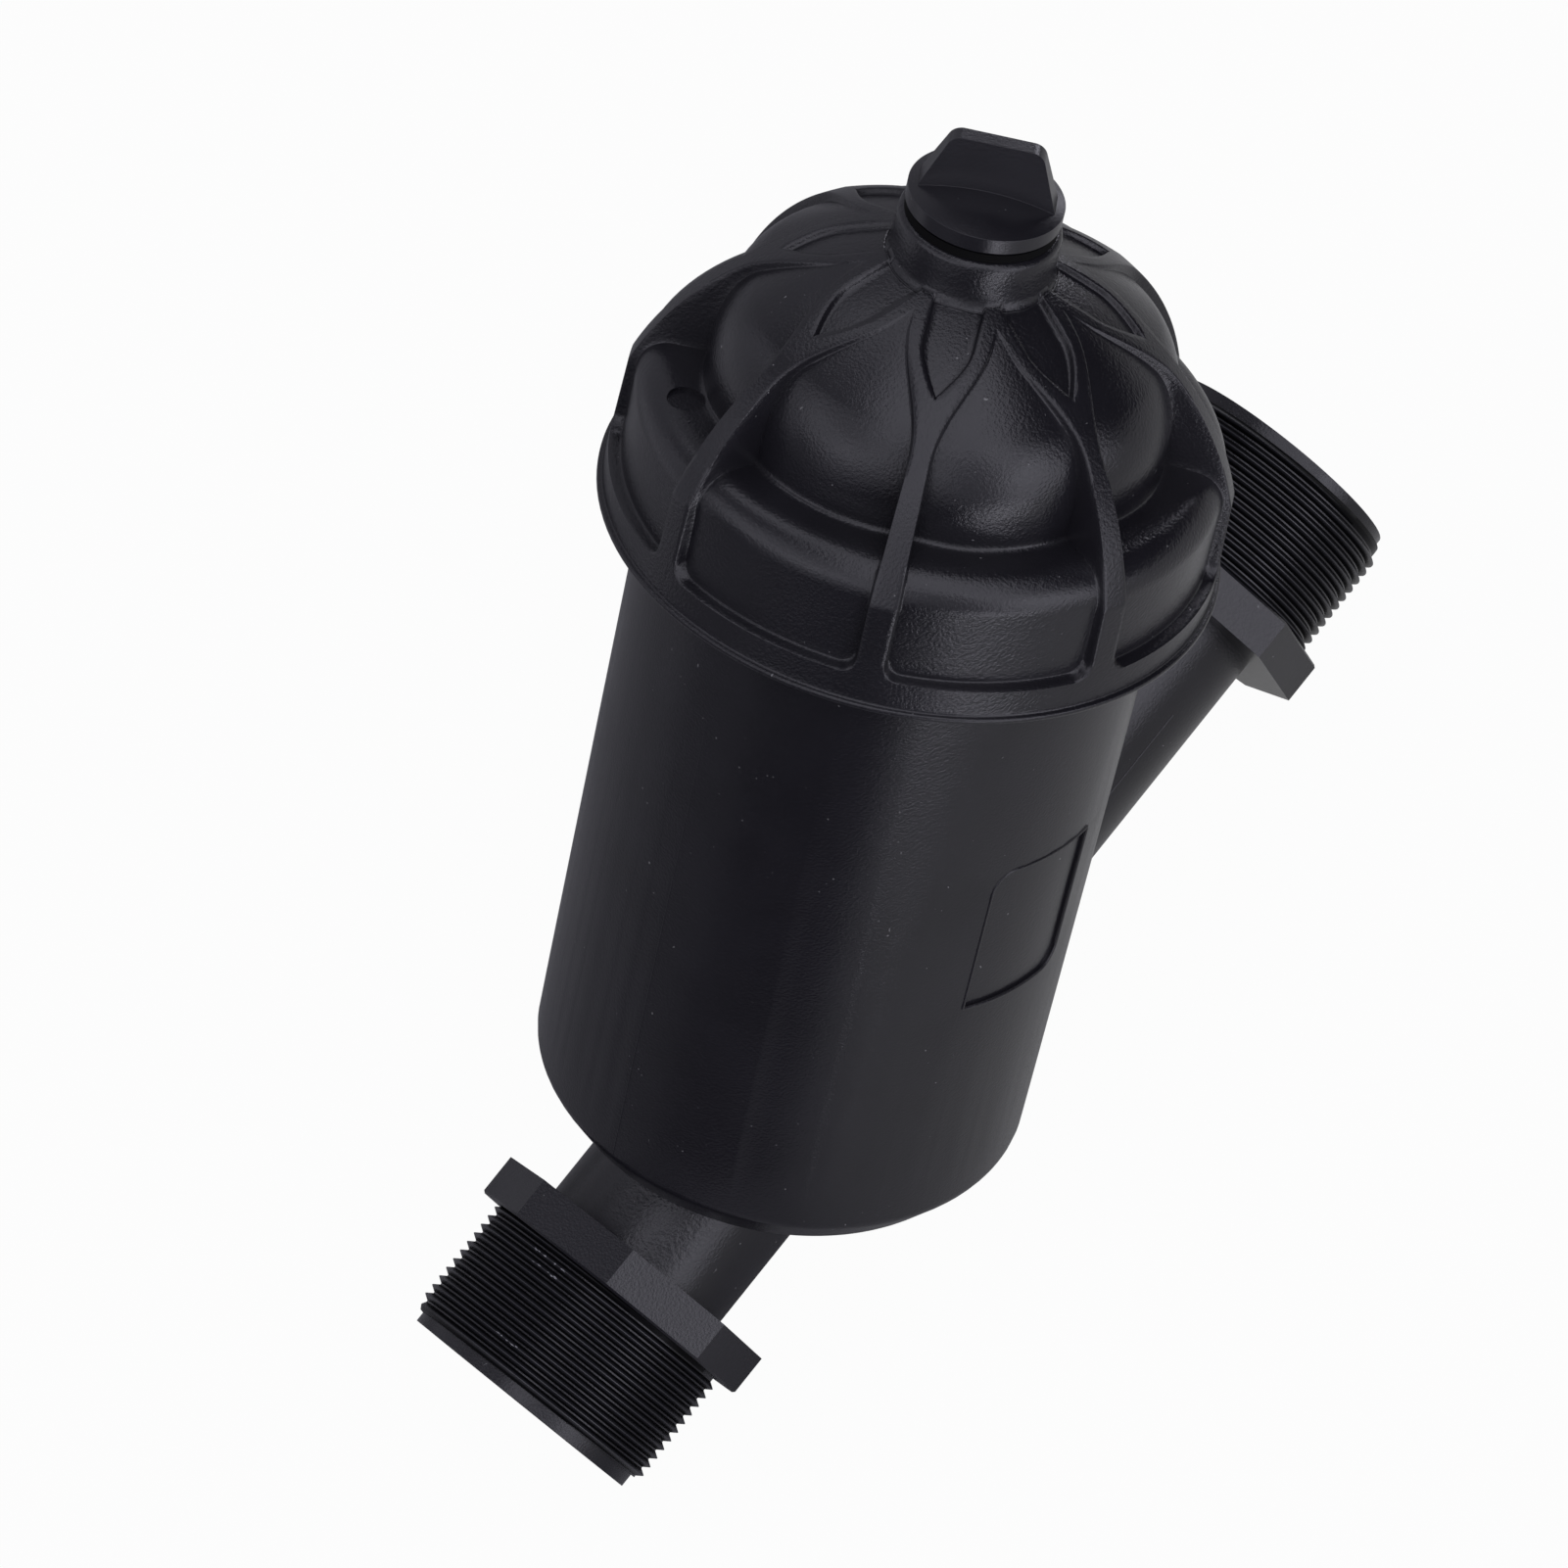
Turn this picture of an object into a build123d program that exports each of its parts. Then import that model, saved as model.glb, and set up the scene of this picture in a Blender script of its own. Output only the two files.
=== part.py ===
from build123d import *
from math import cos, radians, sin, tan
import os

# Y pattern disc filter for a drip irrigation line. The run pipe lies along X with its middle at the
# origin, and the canister leans out of it towards +X and +Z. All sizes are in millimetres.

# Run pipe and its two threaded ends
overall_length = 256.0
pipe_diameter = 44.4
pipe_wall = 3.8
thread_diameter = 59.6
thread_wall = 5.6
pilot_diameter = 55.2
pilot_length = 3.0
bore_cone_length = 12.0
flange_gap = 178.0
flange_thickness = 9.4
flange_across_flats = 62.45
flange_edge = 0.5

# Canister
branch_angle = 50.0
branch_offset = 42.7
canister_diameter = 105.2
canister_foot_diameter = 103.6
canister_wall = 4.2
canister_foot = -0.6
canister_mouth = 176.0
foot_taper_width = 6.6
foot_taper_height = 8.8
foot_edge = 4.0
floor_thickness = 4.0
crotch_fillet = 2.5
seat_tube_diameter = 45.0
seat_tube_top = 24.0
seat_bore = 36.0
lid_thread_height = 2.6
lid_thread_foot = 159.0
lid_thread_length = 14.0

# Bare panel on the canister's side, with two round corners and two sharp ones
panel_width = 26.0
panel_height = 35.0
panel_centre_height = 84.5
panel_azimuth = 88.5
panel_depth = 0.6
panel_corner = 5.0

# Screw lid
lid_start_angle = -11.8
rib_count = 8
lid_clearance = 0.35
lid_wall = 3.5
lid_skirt_depth = 30.1
shoulder_thickness = 3.1
shoulder_radius = 6.5
rim_height = 7.2
rim_lip = 1.0
rim_lip_height = 1.2
rim_flare = 0.5
rib_height = 2.2
rib_lean = 0.4
rib_foot_width = 6.1
rib_waist_width = 4.0
rib_fork_width = 16.0
rib_fork_radius = 25.0
rib_arch_bulge = 2.3
rib_crown_bulge = 1.4
rib_knee_rise = 0.8
pocket_corner = 3.5
dome_inset = 1.6
dome_foot_height = 7.0
dome_knee_inset = 5.8
dome_knee_height = 21.5
dome_slope = 29.0
dome_crown_bulge = 1.4
dome_lobe_offset = 14.0
recess_depth = 1.2
recess_apex_radius = 35.8
recess_width = 9.8
recess_full_radius = 26.0
neck_diameter = 32.4
neck_height = 44.6
neck_edge = 1.4
collar_depth = 9.0
collar_thickness = 2.8
collar_clearance = 0.4

# Vent plug
plug_thread_diameter = 26.4
plug_thread_length = 9.5
plug_clearance = 0.3
plug_gap = 2.0
plug_flange_diameter = 30.8
plug_flange_thickness = 3.6
plug_flange_edge = 0.5
plug_dome_rise = 2.4
plug_wing_height = 12.4
plug_wing_top_width = 17.6
plug_wing_foot_width = 27.4
plug_wing_foot_thickness = 6.4
plug_wing_top_thickness = 3.6
plug_wing_corner = 3.0
plug_turn = 126.0
plug_bore = 18.0

# Seals
lid_seal_section = 3.6
base_seal_height = 2.4
plug_gasket_width = 1.8
stud_gasket_thickness = 1.5
seal_gap = 0.1

# Filter cartridge
disc_diameter = 79.0
disc_bore = 53.6
disc_thickness = 1.35
disc_count = 102
foot_disc_count = 3
top_disc_count = 4
spine_clearance = 0.4
spine_fin_count = 3
spine_fin_thickness = 4.0
spine_core_diameter = 16.0
spine_ring_height = 4.0
spine_ring_width = 5.0
stud_diameter = 11.6
stud_length = 22.0
base_flange_diameter = 82.0
base_flange_thickness = 5.0
spigot_length = 13.0
spigot_clearance = 0.3
spigot_wall = 3.4
spigot_groove_depth = 2.0
plate_diameter = 82.0
plate_thickness = 4.0
plate_hub_diameter = 30.0
plate_hub_height = 5.0
washer_diameter = 24.0
washer_thickness = 1.6
nut_diameter = 20.0
nut_height = 11.0
nut_wing_span = 46.0
nut_wing_thickness = 4.0
bore_clearance = 0.3
seat_gap = 0.1

# Places and radii worked out from the sizes above
end_plane = overall_length / 2
flange_inner = flange_gap / 2
flange_outer = flange_inner + flange_thickness
pipe_radius = pipe_diameter / 2
pipe_bore_radius = pipe_radius - pipe_wall
thread_radius = thread_diameter / 2
mouth_bore_radius = thread_radius - thread_wall
canister_radius = canister_diameter / 2
canister_foot_radius = canister_foot_diameter / 2
cavity_radius = canister_radius - canister_wall
cavity_foot_radius = canister_foot_radius - canister_wall
lid_thread_radius = canister_radius + lid_thread_height

lid_bore_radius = lid_thread_radius + lid_clearance
skirt_radius = lid_bore_radius + lid_wall
crest_radius = skirt_radius + rib_height
ceiling = -shoulder_thickness
shoulder_height = canister_mouth + lid_seal_section + 2 * seal_gap + shoulder_thickness
dome_foot_radius = cavity_radius - dome_inset
dome_knee_radius = dome_foot_radius - dome_knee_inset
knee_point = (dome_knee_radius + rib_knee_rise, dome_knee_height + rib_knee_rise)
neck_radius = neck_diameter / 2
plug_thread_radius = plug_thread_diameter / 2
neck_bore_radius = plug_thread_radius + plug_clearance

seat_bore_radius = seat_bore / 2
spigot_radius = seat_bore_radius - spigot_clearance
spigot_bore_radius = spigot_radius - spigot_wall
base_foot = seat_tube_top + seat_gap
stack_foot = base_foot + base_flange_thickness + seat_gap
stack_top = stack_foot + disc_count * disc_thickness
plate_foot = stack_top + seat_gap
hub_top = plate_foot + plate_thickness + plate_hub_height
washer_foot = hub_top + stud_gasket_thickness + 2 * seat_gap
nut_foot = washer_foot + washer_thickness + seat_gap
spine_radius = disc_bore / 2 - spine_clearance
stud_radius = stud_diameter / 2
stud_bore_radius = stud_radius + bore_clearance

# The canister's own frame: z runs up its axis from where it crosses the pipe's axis, and x points to
# the upper side, in the plane of both axes
lean = radians(branch_angle)
canister_plane = Plane(
    origin=(-branch_offset, 0, 0),
    x_dir=(-sin(lean), 0, cos(lean)),
    z_dir=(cos(lean), 0, sin(lean)),
)


def on_canister(shape):
    """Move a shape from the canister's own frame to the filter's frame."""
    return canister_plane.location * shape


def turned(*points):
    """Solid of revolution about z from the corners (radius, height) of its section."""
    return revolve(make_face(Plane.XZ * Polyline(*points, close=True)), Axis.Z)


def disc(radius, foot, top):
    """Plain cylinder about z between two heights."""
    return Pos(0, 0, foot) * Cylinder(radius, top - foot, align=(Align.CENTER, Align.CENTER, Align.MIN))


def ring(outer, inner, foot, top):
    """Plain ring about z between two heights."""
    return disc(outer, foot, top) - disc(inner, foot - 1, top + 1)


def rod(radius, start, end):
    """Plain cylinder about x between two places."""
    return Pos(start, 0, 0) * Rot(0, 90, 0) * disc(radius, 0, end - start)


def around(shape, count):
    """Copies of a shape spread evenly about z."""
    return [Rot(0, 0, 360 / count * index) * shape for index in range(count)]


def canister_outside():
    """Canister with its tapered foot, the band that carries the lid's thread and the bare mouth."""
    body = turned(
        (0, canister_foot),
        (canister_foot_radius - foot_taper_width, canister_foot),
        (canister_foot_radius, canister_foot + foot_taper_height),
        (canister_radius, lid_thread_foot),
        (canister_radius, canister_mouth),
        (0, canister_mouth),
    )
    foot_edges = body.edges().filter_by(GeomType.CIRCLE).sort_by(Axis.Z)[0:2]
    body = fillet(foot_edges, foot_edge)
    thread_top = lid_thread_foot + lid_thread_length
    band = turned(
        (canister_radius - 1, lid_thread_foot - lid_thread_height),
        (canister_radius, lid_thread_foot - lid_thread_height),
        (lid_thread_radius, lid_thread_foot),
        (lid_thread_radius, thread_top),
        (canister_radius, thread_top + lid_thread_height / 2),
        (canister_radius - 1, thread_top + lid_thread_height / 2),
    )
    return body + band


def side_panel():
    """Shallow cut for the bare panel, bent round the canister's wall."""
    outline = Rectangle(panel_width, panel_height)
    outline = fillet(outline.vertices().filter_by(lambda corner: corner.X * corner.Y < 0), panel_corner)
    face = Plane(origin=(0, 0, panel_centre_height), x_dir=(0, 1, 0), z_dir=(1, 0, 0)) * outline
    column = extrude(face, amount=canister_radius + panel_depth)
    core = turned(
        (0, canister_foot),
        (canister_foot_radius - panel_depth, canister_foot + foot_taper_height),
        (canister_radius - panel_depth, lid_thread_foot),
        (0, canister_mouth),
    )
    return Rot(0, 0, panel_azimuth) * (column - core)


def threaded_end():
    """Octagon flange, thread blank and pilot ring at the +X end of the run pipe."""
    octagon = RegularPolygon(flange_across_flats / 2, 8, major_radius=False, rotation=22.5)
    flange = extrude(Plane.YZ.offset(flange_inner) * octagon, amount=flange_thickness)
    flange = chamfer(flange.faces().sort_by(Axis.X)[-1].edges(), flange_edge)
    blank_end = end_plane - pilot_length
    blank = rod(thread_radius, flange_outer - 1, blank_end)
    return flange + blank + rod(pilot_diameter / 2, blank_end - 1, end_plane)


def end_bore():
    """Water way through the +X threaded end: a wide mouth and a cone down to the pipe's bore."""
    cone_start = flange_inner - bore_cone_length / 2
    section = Polyline(
        (cone_start - 1, 0),
        (cone_start - 1, pipe_bore_radius),
        (cone_start, pipe_bore_radius),
        (cone_start + bore_cone_length, mouth_bore_radius),
        (end_plane + 1, mouth_bore_radius),
        (end_plane + 1, 0),
        close=True,
    )
    return revolve(make_face(section), Axis.X)


def elbow(pipe_way, tube_way, tube_top):
    """Round way from the -X end of the pipe that turns up the canister's axis."""
    shape = rod(pipe_way, -flange_inner, -branch_offset)
    shape = shape + Pos(-branch_offset, 0, 0) * Sphere(max(pipe_way, tube_way))
    return shape + on_canister(disc(tube_way, 0, tube_top))


def filter_housing():
    """Run pipe, canister and both threaded ends in one moulding, hollowed into two chambers."""
    canister = on_canister(canister_outside())
    pipe = rod(pipe_radius, -flange_inner - 1, flange_inner + 1)
    body = canister + pipe
    body = fillet(new_edges(canister, pipe, combined=body), crotch_fillet)
    body = body + threaded_end() + Rot(0, 0, 180) * threaded_end()

    floor = canister_foot + floor_thickness
    cavity = turned(
        (0, floor),
        (cavity_foot_radius - foot_taper_width, floor),
        (cavity_foot_radius, floor + foot_taper_height),
        (cavity_radius, lid_thread_foot),
        (cavity_radius, canister_mouth + 1),
        (0, canister_mouth + 1),
    )
    outer_chamber = on_canister(cavity) + rod(pipe_bore_radius, -branch_offset, flange_inner)
    outer_chamber = outer_chamber - elbow(pipe_radius, seat_tube_diameter / 2, seat_tube_top)
    inner_chamber = elbow(pipe_bore_radius, seat_bore_radius, seat_tube_top + 1)
    body = body - outer_chamber - inner_chamber
    body = body - end_bore() - Rot(0, 0, 180) * end_bore()
    return body - on_canister(side_panel())


def crest_envelope():
    """Everything under the line of the rib crests, from the rim's lip to the neck."""
    rim = -lid_skirt_depth
    band_radius = crest_radius + rim_flare
    arch_start = (crest_radius - rib_lean, -shoulder_radius)
    crown_end = (neck_radius - 2, neck_height - 8.5)
    outline = Polyline(
        crown_end,
        (0, crown_end[1]),
        (0, rim),
        (band_radius + rim_lip, rim),
        (band_radius + rim_lip, rim + rim_lip_height),
        (band_radius, rim + rim_lip_height),
        arch_start,
    )
    outline = outline + SagittaArc(arch_start, knee_point, -rib_arch_bulge)
    outline = outline + SagittaArc(knee_point, crown_end, -rib_crown_bulge)
    return revolve(make_face(Plane.XZ * outline), Axis.Z)


def rib_prism():
    """One rib seen down the lid's axis: a tapering bar that forks into two arms near the neck."""
    foot = (crest_radius + 5, rib_foot_width / 2)
    waist = (knee_point[0] + 4, rib_waist_width / 2)
    fork = (rib_fork_radius, rib_fork_width / 2)
    inner_end = (neck_radius - 4, rib_fork_width / 2)
    side = Polyline(inner_end, fork) + Spline(fork, waist, tangents=((1, 0), (1, 0))) + Line(waist, foot)
    ends = Line(foot, (foot[0], -foot[1])) + Line(inner_end, (inner_end[0], -inner_end[1]))
    return extrude(make_face(side + mirror(side, Plane.XZ) + ends), amount=2 * neck_height, both=True)


def pocket_gusset():
    """Rounded lower corner of the panel beside a rib, on the rib's +y side."""
    corner = (rib_foot_width / 2, -lid_skirt_depth + rim_height)
    centre = (corner[0] + pocket_corner, corner[1] + pocket_corner)
    block = Pos(*corner) * Rectangle(2 * pocket_corner, 2 * pocket_corner)
    block = block - Pos(*centre) * Circle(pocket_corner)
    block = block - Pos(centre[0] + pocket_corner, centre[1]) * Rectangle(2 * pocket_corner, 9 * pocket_corner)
    block = block - Pos(centre[0], centre[1] + pocket_corner) * Rectangle(9 * pocket_corner, 2 * pocket_corner)
    face = Plane(origin=(skirt_radius - 2, 0, 0), x_dir=(0, 1, 0), z_dir=(1, 0, 0)) * block
    return extrude(face, amount=rib_height + 4)


def recess_prism():
    """Teardrop between the two arms of a rib, seen down the lid's axis."""
    apex = (recess_apex_radius, 0)
    full = (recess_full_radius, recess_width / 2)
    inner = (neck_radius - 2, recess_width / 2)
    side = Line(inner, full) + Spline(full, apex, tangents=((1, 0), (1, -0.75)))
    outline = side + mirror(side, Plane.XZ) + Line(inner, (inner[0], -inner[1]))
    return extrude(make_face(outline), amount=2 * neck_height)


def dome_section(inset, offset):
    """Half section of the lid's dome, inset by a wall and moved towards its own axis by an offset."""
    foot_radius = dome_foot_radius - inset - offset
    knee_radius = dome_knee_radius - 0.75 * inset - offset
    knee_height = dome_knee_height - 0.66 * inset
    tip_height = knee_height + knee_radius * tan(radians(dome_slope))
    below = -shoulder_thickness - 1
    outline = Polyline((0, tip_height), (0, below), (foot_radius, below), (foot_radius, dome_foot_height))
    outline = outline + TangentArc((foot_radius, dome_foot_height), (knee_radius, knee_height), tangent=(0, 1))
    crown = SagittaArc((knee_radius, knee_height), (0, tip_height), -dome_crown_bulge)
    return make_face(Plane.XZ * (outline + crown))


def filter_lid():
    """Screw lid: smooth skirt and lobed dome under eight ribs that fork round teardrops at the neck."""
    rim = -lid_skirt_depth
    skirt = disc(skirt_radius, rim, 0)
    skirt = fillet(skirt.edges().sort_by(Axis.Z)[-1], shoulder_radius)
    envelope = crest_envelope()
    rib = rib_prism() + pocket_gusset() + mirror(pocket_gusset(), Plane.XZ)
    ribs = envelope & (Part() + around(rib, rib_count))
    band = envelope & disc(2 * crest_radius, rim, rim + rim_height)
    lobe = revolve(dome_section(0, dome_lobe_offset), Axis.Z)
    lobe = Rot(0, 0, 180 / rib_count) * Pos(dome_lobe_offset, 0, 0) * lobe
    body = skirt + around(lobe, rib_count) + band + ribs

    recess = recess_prism() - Pos(0, 0, -recess_depth) * envelope
    body = body - around(recess, rib_count)
    neck = disc(neck_radius, dome_knee_height, neck_height)
    body = body + fillet(neck.edges().sort_by(Axis.Z)[-1], neck_edge)

    collar_radius = cavity_radius - collar_clearance
    collar = ring(collar_radius, collar_radius - collar_thickness, ceiling - collar_depth, 1)
    inside = disc(lid_bore_radius, rim - 1, ceiling) - collar
    inside = inside + revolve(dome_section(lid_wall, 0), Axis.Z)
    body = body - inside - disc(neck_bore_radius, 0, neck_height + 1)
    return on_canister(Pos(0, 0, shoulder_height) * Rot(0, 0, lid_start_angle) * body)


def vent_plug():
    """Winged plug: hollow threaded shank, domed flange and a flat wing grip."""
    flange = disc(plug_flange_diameter / 2, 0, plug_flange_thickness)
    flange = chamfer(flange.edges().sort_by(Axis.Z)[0], plug_flange_edge)
    radius = plug_flange_diameter / 2
    ball_radius = (radius * radius + plug_dome_rise * plug_dome_rise) / (2 * plug_dome_rise)
    ball = Pos(0, 0, plug_flange_thickness + plug_dome_rise - ball_radius) * Sphere(ball_radius)
    dome = ball & disc(radius, plug_flange_thickness, plug_flange_thickness + plug_dome_rise + 1)
    shank_length = plug_gap + plug_thread_length
    shank = ring(plug_thread_radius, plug_bore / 2, -shank_length, 0.5)

    half_top = plug_wing_top_width / 2
    half_foot = plug_wing_foot_width / 2
    outline = Polygon((-half_foot, 0), (half_foot, 0), (half_top, plug_wing_height),
                      (-half_top, plug_wing_height), align=None)
    outline = fillet(outline.vertices().group_by(Axis.Y)[-1], plug_wing_corner)
    blade = extrude(Plane.XZ * outline, amount=plug_wing_foot_thickness, both=True)
    half_thick = plug_wing_foot_thickness / 2
    half_thin = plug_wing_top_thickness / 2
    side = Polygon((-half_thick, 0), (half_thick, 0), (half_thin, plug_wing_height),
                   (-half_thin, plug_wing_height), align=None)
    blade = blade & extrude(Plane.YZ * side, amount=plug_wing_foot_width, both=True)
    blade = Pos(0, 0, plug_flange_thickness) * blade
    plug = flange + dome + blade + shank
    place = shoulder_height + neck_height + plug_gap
    return on_canister(Pos(0, 0, place) * Rot(0, 0, plug_turn) * plug)


def lid_seal():
    """Square-section rubber ring round the lid's collar, between its shoulder and the canister's mouth."""
    inner = cavity_radius - collar_clearance + seal_gap
    foot = canister_mouth + seal_gap
    return on_canister(ring(inner + lid_seal_section, inner, foot, foot + lid_seal_section))


def plug_gasket():
    """Flat rubber ring between the neck's top and the plug's flange."""
    inner = plug_thread_radius + seal_gap
    foot = shoulder_height + neck_height
    return on_canister(ring(inner + plug_gasket_width, inner, foot + seal_gap, foot + plug_gap - seal_gap))


def base_seal():
    """Rubber ring with a square section in the spigot's groove."""
    outer = seat_bore_radius - seal_gap / 2
    inner = spigot_radius - spigot_groove_depth + seal_gap / 2
    foot = base_foot - spigot_length / 2 - base_seal_height / 2
    return on_canister(ring(outer, inner, foot, foot + base_seal_height))


def cartridge_base():
    """Flange that carries the discs, with a grooved spigot that plugs into the seat tube."""
    spigot = ring(spigot_radius, spigot_bore_radius, base_foot - spigot_length, base_foot + 1)
    groove_foot = base_foot - spigot_length / 2 - base_seal_height / 2 - seal_gap
    groove_top = groove_foot + base_seal_height + 2 * seal_gap
    groove = ring(spigot_radius + 1, spigot_radius - spigot_groove_depth, groove_foot, groove_top)
    flange = ring(base_flange_diameter / 2, spigot_bore_radius, base_foot, base_foot + base_flange_thickness)
    return on_canister(flange + spigot - groove)


def cartridge_spine():
    """Core with fins that centre the discs, a ring foot and a stud for the nut."""
    foot_ring = ring(spine_radius, spine_radius - spine_ring_width, stack_foot, stack_foot + spine_ring_height)
    fin = Box(spine_radius, spine_fin_thickness, stack_top - stack_foot,
              align=(Align.MIN, Align.CENTER, Align.MIN))
    fin = Pos(0, 0, stack_foot) * fin
    core = disc(spine_core_diameter / 2, stack_foot, stack_top)
    limit = disc(spine_radius, stack_foot, stack_top)
    fins = limit & (Part() + around(fin, spine_fin_count))
    stud_top = hub_top + stud_length
    stud = disc(stud_radius, stack_top - 1, stud_top)
    stud = chamfer(stud.edges().sort_by(Axis.Z)[-1], 1)
    return on_canister(fins + core + foot_ring + stud)


def grooved_discs(first, count):
    """A run of grooved discs pressed together, from one place in the stack."""
    foot = stack_foot + first * disc_thickness
    return on_canister(ring(disc_diameter / 2, disc_bore / 2, foot, foot + count * disc_thickness))


def pressure_plate():
    """Plate that presses the discs together, with a hub for the nut."""
    plate = disc(plate_diameter / 2, plate_foot, plate_foot + plate_thickness)
    plate = fillet(plate.edges().sort_by(Axis.Z)[-1], plate_thickness / 2)
    hub = disc(plate_hub_diameter / 2, plate_foot, hub_top)
    return on_canister(plate + hub - disc(stud_bore_radius, plate_foot - 1, hub_top + 1))


def stud_gasket():
    """Rubber ring that stops water passing along the stud."""
    foot = hub_top + seat_gap
    return on_canister(ring(washer_diameter / 2, stud_bore_radius, foot, foot + stud_gasket_thickness))


def nut_washer():
    """Flat washer under the cartridge nut."""
    top = washer_foot + washer_thickness
    return on_canister(ring(washer_diameter / 2, stud_bore_radius, washer_foot, top))


def cartridge_nut():
    """Round nut with two wings."""
    top = nut_foot + nut_height
    hub = disc(nut_diameter / 2, nut_foot, top)
    wings = Pos(0, 0, nut_foot) * Box(nut_wing_span, nut_wing_thickness, nut_height,
                                      align=(Align.CENTER, Align.CENTER, Align.MIN))
    wings = fillet(wings.edges().filter_by(Axis.Y).sort_by(Axis.Z)[-2:], nut_height / 3)
    return on_canister(hub + wings - disc(stud_bore_radius, nut_foot - 1, top + 1))


pieces = {
    "filter_housing": filter_housing(),
    "filter_lid": filter_lid(),
    "lid_seal": lid_seal(),
    "vent_plug": vent_plug(),
    "plug_gasket": plug_gasket(),
    "cartridge_base": cartridge_base(),
    "base_seal": base_seal(),
    "cartridge_spine": cartridge_spine(),
    "disc_stack": grooved_discs(foot_disc_count, disc_count - foot_disc_count - top_disc_count),
    "pressure_plate": pressure_plate(),
    "stud_gasket": stud_gasket(),
    "nut_washer": nut_washer(),
    "cartridge_nut": cartridge_nut(),
}
for number in range(foot_disc_count):
    pieces[f"foot_disc_{number + 1}"] = grooved_discs(number, 1)
for number in range(top_disc_count):
    pieces[f"top_disc_{number + 1}"] = grooved_discs(disc_count - 1 - number, 1)

os.makedirs("parts", exist_ok=True)
for name, piece in pieces.items():
    export_step(piece, f"parts/{name}.step")
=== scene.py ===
import math

import bpy
import bmesh
import numpy as np
from mathutils import Matrix, Vector


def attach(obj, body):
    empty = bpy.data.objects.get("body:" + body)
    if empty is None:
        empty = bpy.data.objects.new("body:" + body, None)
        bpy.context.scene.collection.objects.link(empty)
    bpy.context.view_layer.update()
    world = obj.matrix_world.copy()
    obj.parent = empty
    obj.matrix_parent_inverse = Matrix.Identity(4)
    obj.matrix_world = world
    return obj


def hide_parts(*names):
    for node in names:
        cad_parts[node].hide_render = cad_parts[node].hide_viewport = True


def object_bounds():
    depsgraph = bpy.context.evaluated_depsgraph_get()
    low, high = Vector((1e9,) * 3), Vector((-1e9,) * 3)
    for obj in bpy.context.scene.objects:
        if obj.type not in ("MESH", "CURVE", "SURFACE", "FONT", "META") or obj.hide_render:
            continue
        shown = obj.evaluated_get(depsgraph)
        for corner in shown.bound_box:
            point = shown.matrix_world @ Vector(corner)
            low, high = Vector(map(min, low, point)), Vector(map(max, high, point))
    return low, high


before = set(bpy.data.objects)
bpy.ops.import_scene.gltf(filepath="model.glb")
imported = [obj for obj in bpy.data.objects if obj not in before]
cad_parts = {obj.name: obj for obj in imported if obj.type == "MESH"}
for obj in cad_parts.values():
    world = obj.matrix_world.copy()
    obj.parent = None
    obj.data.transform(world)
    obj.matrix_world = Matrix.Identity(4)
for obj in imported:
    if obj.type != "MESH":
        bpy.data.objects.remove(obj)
CAD_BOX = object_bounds()
MM = 0.001

# Frame of the part: run pipe along X, canister leaning out of it at this angle
BRANCH_ANGLE = math.radians(50.0)
BRANCH_ORIGIN = Vector((-42.7 * MM, 0.0, 0.0))
CANISTER_UP = Vector((-math.sin(BRANCH_ANGLE), 0.0, math.cos(BRANCH_ANGLE)))
CANISTER_SIDE = Vector((0.0, -1.0, 0.0))
CANISTER_AXIS = Vector((math.cos(BRANCH_ANGLE), 0.0, math.sin(BRANCH_ANGLE)))

# Copies of the solids: edges sharper than an angle in degrees are eased, nearly flat joins are dissolved
EASED_ANGLE = 35.0
EASED_SEGMENTS = 3
HOUSING_EASE = 0.4
PLUG_EASE = 0.7
FLAT_ANGLE = 0.3
JOIN_DISTANCE = 0.002 * MM

# Threaded ends, in millimetres; the section is in shares of the pitch and of the depth
THREAD_CREST = 29.8
THREAD_ROOT = 28.45
THREAD_PITCH = 25.4 / 11
THREAD_FIRST_CREST = 98.3
THREAD_TURNS = 11.6
THREAD_FADE_TURNS = 0.4
THREAD_LEAST_HEIGHT = 0.02
THREAD_STEPS = 144
THREAD_FLANK = ((-0.5, -0.4), (-0.44, 0.0), (-0.075, 0.9), (-0.03, 0.99))
THREAD_FOOT_SHARE = 0.98
THREAD_SHARP = 50.0
BLANK_START = 98.4
BLANK_END = 125.0
BLANK_MARGIN = 0.1

# Nicks on the outlet thread: turn, middle and spread in degrees, and how many; sizes in millimetres
NICK_SEED = 11
NICK_PLACES = ((1, 88.0, 9.0, 9), (2, 88.0, 7.0, 7), (9, 95.0, 6.0, 5))
NICK_SCATTER = 0.12
NICK_REACH = (0.25, 0.7)
NICK_HALF_WIDTH = (0.08, 0.16)
NICK_SUNK = 0.02
NICK_LIFT = 0.09

# Canister wall and bare panel, in millimetres
FOOT_RADIUS = 51.8
CANISTER_RADIUS = 52.6
TAPER_TOP = 8.2
MOUTH = 176.0
PANEL_WIDTH = 26.0
PANEL_HEIGHT = 35.0
PANEL_CENTRE = 84.5
PANEL_AZIMUTH = math.radians(88.5)
PANEL_CORNER = 5.0
PANEL_TIGHT_CORNER = 0.4
PANEL_RIM = 0.9
PANEL_RIM_HEIGHT = 0.3
PANEL_RIM_OFFSET = 0.6 * PANEL_RIM
PANEL_CORNER_POINTS = 9
PANEL_STEP = 1.5

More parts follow.
